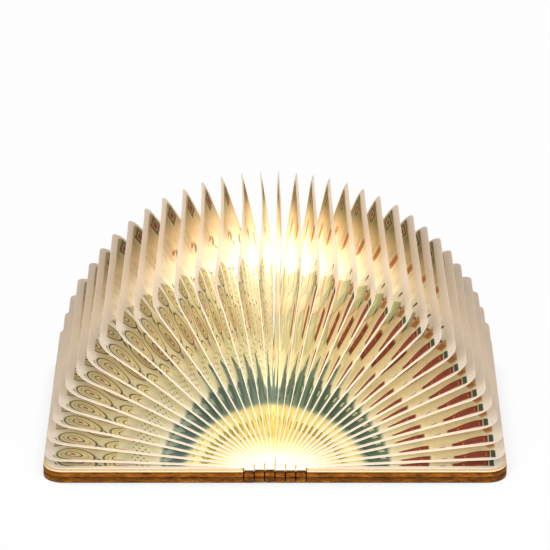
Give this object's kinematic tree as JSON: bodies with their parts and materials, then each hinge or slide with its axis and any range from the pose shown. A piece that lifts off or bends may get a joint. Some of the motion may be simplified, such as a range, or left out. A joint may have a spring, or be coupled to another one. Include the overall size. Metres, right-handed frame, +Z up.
{
  "type": "folding book lamp",
  "caption": "Table lamp shaped as a book: wooden covers and a slatted spine that fold shut, and a fan of printed pages that spreads over lights in the spine as it opens.",
  "frame": {"origin": "centre of the underside, on the table, with the lamp open flat", "axes": "+X towards the right cover, +Y from the front edge to the back edge, +Z up"},
  "size_m": [0.179, 0.122, 0.085],
  "materials": {
    "cover_wood": "satin",
    "slat_wood": "satin",
    "lining": "matte",
    "page_paper": "matte",
    "rail": "translucent",
    "led_strip": "gloss",
    "magnet": "plated",
    "cell": "foil",
    "board": "gloss"
  },
  "bodies": {
    "left_cover": {"left_cover_outer": "cover_wood", "left_cover_inner": "cover_wood", "left_lining": "lining", "left_magnets": "magnet", "battery": "cell", "circuit_board": "board"},
    "spine_1": {"spine_slat_1": "slat_wood", "page_rail_1": "rail"},
    "spine_2": {"spine_slat_2": "slat_wood", "page_rail_2": "rail", "led_strip_2": "led_strip"},
    "spine_3": {"spine_slat_3": "slat_wood", "page_rail_3": "rail", "led_strip_3": "led_strip"},
    "spine_4": {"spine_slat_4": "slat_wood", "page_rail_4": "rail", "led_strip_4": "led_strip"},
    "spine_5": {"spine_slat_5": "slat_wood", "page_rail_5": "rail", "led_strip_5": "led_strip"},
    "spine_6": {"spine_slat_6": "slat_wood", "page_rail_6": "rail"},
    "right_cover": {"right_cover_outer": "cover_wood", "right_cover_inner": "cover_wood", "right_lining": "lining", "right_magnets": "magnet"},
    "leaf_01": {"page_01": "page_paper"},
    "leaf_02": {"page_02": "page_paper"},
    "leaf_03": {"page_03": "page_paper"},
    "leaf_04": {"page_04": "page_paper"},
    "leaf_05": {"page_05": "page_paper"},
    "leaf_06": {"page_06": "page_paper"},
    "leaf_07": {"page_07": "page_paper"},
    "leaf_08": {"page_08": "page_paper"},
    "leaf_09": {"page_09": "page_paper"},
    "leaf_10": {"page_10": "page_paper"},
    "leaf_11": {"page_11": "page_paper"},
    "leaf_12": {"page_12": "page_paper"},
    "leaf_13": {"page_13": "page_paper"},
    "leaf_14": {"page_14": "page_paper"},
    "leaf_15": {"page_15": "page_paper"},
    "leaf_16": {"page_16": "page_paper"},
    "leaf_17": {"page_17": "page_paper"},
    "leaf_18": {"page_18": "page_paper"},
    "leaf_19": {"page_19": "page_paper"},
    "leaf_20": {"page_20": "page_paper"},
    "leaf_21": {"page_21": "page_paper"},
    "leaf_22": {"page_22": "page_paper"},
    "leaf_23": {"page_23": "page_paper"},
    "leaf_24": {"page_24": "page_paper"},
    "leaf_25": {"page_25": "page_paper"},
    "leaf_26": {"page_26": "page_paper"},
    "leaf_27": {"page_27": "page_paper"},
    "leaf_28": {"page_28": "page_paper"},
    "leaf_29": {"page_29": "page_paper"},
    "leaf_30": {"page_30": "page_paper"},
    "leaf_31": {"page_31": "page_paper"},
    "leaf_32": {"page_32": "page_paper"},
    "leaf_33": {"page_33": "page_paper"},
    "leaf_34": {"page_34": "page_paper"}
  },
  "joints": [
    {"name": "spine_fold_1", "type": "hinge", "parent": "left_cover", "child": "spine_1", "pos_m": [-0.012, 0, 0.0045], "axis": [0, -1, 0], "range_deg": [0, 25.71]},
    {"name": "spine_fold_2", "type": "hinge", "parent": "spine_1", "child": "spine_2", "pos_m": [-0.008, 0, 0.0045], "axis": [0, -1, 0], "range_deg": [0, 25.72]},
    {"name": "spine_fold_3", "type": "hinge", "parent": "spine_2", "child": "spine_3", "pos_m": [-0.004, 0, 0.0045], "axis": [0, -1, 0], "range_deg": [0, 25.72]},
    {"name": "spine_fold_4", "type": "hinge", "parent": "spine_3", "child": "spine_4", "pos_m": [0, 0, 0.0045], "axis": [0, -1, 0], "range_deg": [0, 25.72]},
    {"name": "spine_fold_5", "type": "hinge", "parent": "spine_4", "child": "spine_5", "pos_m": [0.004, 0, 0.0045], "axis": [0, -1, 0], "range_deg": [0, 25.72]},
    {"name": "spine_fold_6", "type": "hinge", "parent": "spine_5", "child": "spine_6", "pos_m": [0.008, 0, 0.0045], "axis": [0, -1, 0], "range_deg": [0, 25.72]},
    {"name": "spine_fold_7", "type": "hinge", "parent": "spine_6", "child": "right_cover", "pos_m": [0.012, 0, 0.0045], "axis": [0, -1, 0], "range_deg": [0, 25.72]},
    {"name": "page_turn_01", "type": "hinge", "parent": "spine_1", "child": "leaf_01", "pos_m": [-0.0109, 0, 0.00568], "axis": [0, -1, 0], "range_deg": [-23.5, 0]},
    {"name": "page_turn_02", "type": "hinge", "parent": "spine_1", "child": "leaf_02", "pos_m": [-0.0105, 0, 0.00587], "axis": [0, -1, 0], "range_deg": [-17.99, 0]},
    {"name": "page_turn_03", "type": "hinge", "parent": "spine_1", "child": "leaf_03", "pos_m": [-0.0095, 0, 0.00633], "axis": [0, -1, 0], "range_deg": [-12.1, 0]},
    {"name": "page_turn_04", "type": "hinge", "parent": "spine_1", "child": "leaf_04", "pos_m": [-0.0091, 0, 0.00652], "axis": [0, -1, 0], "range_deg": [-6.58, 0]},
    {"name": "page_turn_05", "type": "hinge", "parent": "spine_1", "child": "leaf_05", "pos_m": [-0.0087, 0, 0.0067], "axis": [0, -1, 0], "range_deg": [-1.07, 0]},
    {"name": "page_turn_06", "type": "hinge", "parent": "spine_2", "child": "leaf_06", "pos_m": [-0.0073, 0, 0.007], "axis": [0, -1, 0], "range_deg": [-21.2, 0]},
    {"name": "page_turn_07", "type": "hinge", "parent": "spine_2", "child": "leaf_07", "pos_m": [-0.0069, 0, 0.007], "axis": [0, -1, 0], "range_deg": [-15.71, 0]},
    {"name": "page_turn_08", "type": "hinge", "parent": "spine_2", "child": "leaf_08", "pos_m": [-0.0065, 0, 0.007], "axis": [0, -1, 0], "range_deg": [-10.21, 0]},
    {"name": "page_turn_09", "type": "hinge", "parent": "spine_2", "child": "leaf_09", "pos_m": [-0.0055, 0, 0.007], "axis": [0, -1, 0], "range_deg": [-4.37, 0]},
    {"name": "page_turn_10", "type": "hinge", "parent": "spine_2", "child": "leaf_10", "pos_m": [-0.0051, 0, 0.007], "axis": [0, -1, 0], "range_deg": [0, 1.13]},
    {"name": "page_turn_11", "type": "hinge", "parent": "spine_2", "child": "leaf_11", "pos_m": [-0.0047, 0, 0.007], "axis": [0, -1, 0], "range_deg": [0, 6.63]},
    {"name": "page_turn_12", "type": "hinge", "parent": "spine_3", "child": "leaf_12", "pos_m": [-0.0033, 0, 0.007], "axis": [0, -1, 0], "range_deg": [-13.66, 0]},
    {"name": "page_turn_13", "type": "hinge", "parent": "spine_3", "child": "leaf_13", "pos_m": [-0.0029, 0, 0.007], "axis": [0, -1, 0], "range_deg": [-8.11, 0]},
    {"name": "page_turn_14", "type": "hinge", "parent": "spine_3", "child": "leaf_14", "pos_m": [-0.0025, 0, 0.007], "axis": [0, -1, 0], "range_deg": [-2.56, 0]},
    {"name": "page_turn_15", "type": "hinge", "parent": "spine_3", "child": "leaf_15", "pos_m": [-0.0015, 0, 0.007], "axis": [0, -1, 0], "range_deg": [0, 3.43]},
    {"name": "page_turn_16", "type": "hinge", "parent": "spine_3", "child": "leaf_16", "pos_m": [-0.0011, 0, 0.007], "axis": [0, -1, 0], "range_deg": [0, 8.98]},
    {"name": "page_turn_17", "type": "hinge", "parent": "spine_3", "child": "leaf_17", "pos_m": [-0.0007, 0, 0.007], "axis": [0, -1, 0], "range_deg": [0, 14.54]},
    {"name": "page_turn_18", "type": "hinge", "parent": "spine_4", "child": "leaf_18", "pos_m": [0.0007, 0, 0.0067], "axis": [0, -1, 0], "range_deg": [-6.24, 0]},
    {"name": "page_turn_19", "type": "hinge", "parent": "spine_4", "child": "leaf_19", "pos_m": [0.0011, 0, 0.0067], "axis": [0, -1, 0], "range_deg": [-1.24, 0]},
    {"name": "page_turn_20", "type": "hinge", "parent": "spine_4", "child": "leaf_20", "pos_m": [0.0015, 0, 0.0067], "axis": [0, -1, 0], "range_deg": [0, 3.78]},
    {"name": "page_turn_21", "type": "hinge", "parent": "spine_4", "child": "leaf_21", "pos_m": [0.0025, 0, 0.0067], "axis": [0, -1, 0], "range_deg": [0, 9.21]},
    {"name": "page_turn_22", "type": "hinge", "parent": "spine_4", "child": "leaf_22", "pos_m": [0.0029, 0, 0.0067], "axis": [0, -1, 0], "range_deg": [0, 14.21]},
    {"name": "page_turn_23", "type": "hinge", "parent": "spine_4", "child": "leaf_23", "pos_m": [0.0033, 0, 0.0067], "axis": [0, -1, 0], "range_deg": [0, 19.21]},
    {"name": "page_turn_24", "type": "hinge", "parent": "spine_5", "child": "leaf_24", "pos_m": [0.0047, 0, 0.0067], "axis": [0, -1, 0], "range_deg": [-1.54, 0]},
    {"name": "page_turn_25", "type": "hinge", "parent": "spine_5", "child": "leaf_25", "pos_m": [0.0051, 0, 0.0067], "axis": [0, -1, 0], "range_deg": [0, 3.41]},
    {"name": "page_turn_26", "type": "hinge", "parent": "spine_5", "child": "leaf_26", "pos_m": [0.0055, 0, 0.0067], "axis": [0, -1, 0], "range_deg": [0, 8.36]},
    {"name": "page_turn_27", "type": "hinge", "parent": "spine_5", "child": "leaf_27", "pos_m": [0.0065, 0, 0.0067], "axis": [0, -1, 0], "range_deg": [0, 13.65]},
    {"name": "page_turn_28", "type": "hinge", "parent": "spine_5", "child": "leaf_28", "pos_m": [0.0069, 0, 0.0067], "axis": [0, -1, 0], "range_deg": [0, 18.59]},
    {"name": "page_turn_29", "type": "hinge", "parent": "spine_5", "child": "leaf_29", "pos_m": [0.0073, 0, 0.0067], "axis": [0, -1, 0], "range_deg": [0, 23.54]},
    {"name": "page_turn_30", "type": "hinge", "parent": "spine_6", "child": "leaf_30", "pos_m": [0.0087, 0, 0.0067], "axis": [0, -1, 0], "range_deg": [0, 2.72]},
    {"name": "page_turn_31", "type": "hinge", "parent": "spine_6", "child": "leaf_31", "pos_m": [0.0091, 0, 0.00652], "axis": [0, -1, 0], "range_deg": [0, 7.68]},
    {"name": "page_turn_32", "type": "hinge", "parent": "spine_6", "child": "leaf_32", "pos_m": [0.0095, 0, 0.00633], "axis": [0, -1, 0], "range_deg": [0, 12.65]},
    {"name": "page_turn_33", "type": "hinge", "parent": "spine_6", "child": "leaf_33", "pos_m": [0.0105, 0, 0.00587], "axis": [0, -1, 0], "range_deg": [0, 17.99]},
    {"name": "page_turn_34", "type": "hinge", "parent": "spine_6", "child": "leaf_34", "pos_m": [0.0109, 0, 0.00568], "axis": [0, -1, 0], "range_deg": [0, 22.95]}
  ],
  "couplings": [
    {"joint": "spine_fold_2", "follows": "spine_fold_1", "ratio": 1},
    {"joint": "spine_fold_3", "follows": "spine_fold_1", "ratio": 1},
    {"joint": "spine_fold_4", "follows": "spine_fold_1", "ratio": 1},
    {"joint": "spine_fold_5", "follows": "spine_fold_1", "ratio": 1},
    {"joint": "spine_fold_6", "follows": "spine_fold_1", "ratio": 1},
    {"joint": "spine_fold_7", "follows": "spine_fold_1", "ratio": 1},
    {"joint": "page_turn_01", "follows": "spine_fold_1", "ratio": -0.9138},
    {"joint": "page_turn_02", "follows": "spine_fold_1", "ratio": -0.6993},
    {"joint": "page_turn_03", "follows": "spine_fold_1", "ratio": -0.4703},
    {"joint": "page_turn_04", "follows": "spine_fold_1", "ratio": -0.2558},
    {"joint": "page_turn_05", "follows": "spine_fold_1", "ratio": -0.0413},
    {"joint": "page_turn_06", "follows": "spine_fold_1", "ratio": -0.8243},
    {"joint": "page_turn_07", "follows": "spine_fold_1", "ratio": -0.6106},
    {"joint": "page_turn_08", "follows": "spine_fold_1", "ratio": -0.3969},
    {"joint": "page_turn_09", "follows": "spine_fold_1", "ratio": -0.1698},
    {"joint": "page_turn_10", "follows": "spine_fold_1", "ratio": 0.0439},
    {"joint": "page_turn_11", "follows": "spine_fold_1", "ratio": 0.2576},
    {"joint": "page_turn_12", "follows": "spine_fold_1", "ratio": -0.5311},
    {"joint": "page_turn_13", "follows": "spine_fold_1", "ratio": -0.3152},
    {"joint": "page_turn_14", "follows": "spine_fold_1", "ratio": -0.0993},
    {"joint": "page_turn_15", "follows": "spine_fold_1", "ratio": 0.1333},
    {"joint": "page_turn_16", "follows": "spine_fold_1", "ratio": 0.3492},
    {"joint": "page_turn_17", "follows": "spine_fold_1", "ratio": 0.5651},
    {"joint": "page_turn_18", "follows": "spine_fold_1", "ratio": -0.2424},
    {"joint": "page_turn_19", "follows": "spine_fold_1", "ratio": -0.0479},
    {"joint": "page_turn_20", "follows": "spine_fold_1", "ratio": 0.1467},
    {"joint": "page_turn_21", "follows": "spine_fold_1", "ratio": 0.3579},
    {"joint": "page_turn_22", "follows": "spine_fold_1", "ratio": 0.5524},
    {"joint": "page_turn_23", "follows": "spine_fold_1", "ratio": 0.7469},
    {"joint": "page_turn_24", "follows": "spine_fold_1", "ratio": -0.0597},
    {"joint": "page_turn_25", "follows": "spine_fold_1", "ratio": 0.1326},
    {"joint": "page_turn_26", "follows": "spine_fold_1", "ratio": 0.3249},
    {"joint": "page_turn_27", "follows": "spine_fold_1", "ratio": 0.5306},
    {"joint": "page_turn_28", "follows": "spine_fold_1", "ratio": 0.7229},
    {"joint": "page_turn_29", "follows": "spine_fold_1", "ratio": 0.9152},
    {"joint": "page_turn_30", "follows": "spine_fold_1", "ratio": 0.1055},
    {"joint": "page_turn_31", "follows": "spine_fold_1", "ratio": 0.2986},
    {"joint": "page_turn_32", "follows": "spine_fold_1", "ratio": 0.4917},
    {"joint": "page_turn_33", "follows": "spine_fold_1", "ratio": 0.6993},
    {"joint": "page_turn_34", "follows": "spine_fold_1", "ratio": 0.8924}
  ]
}
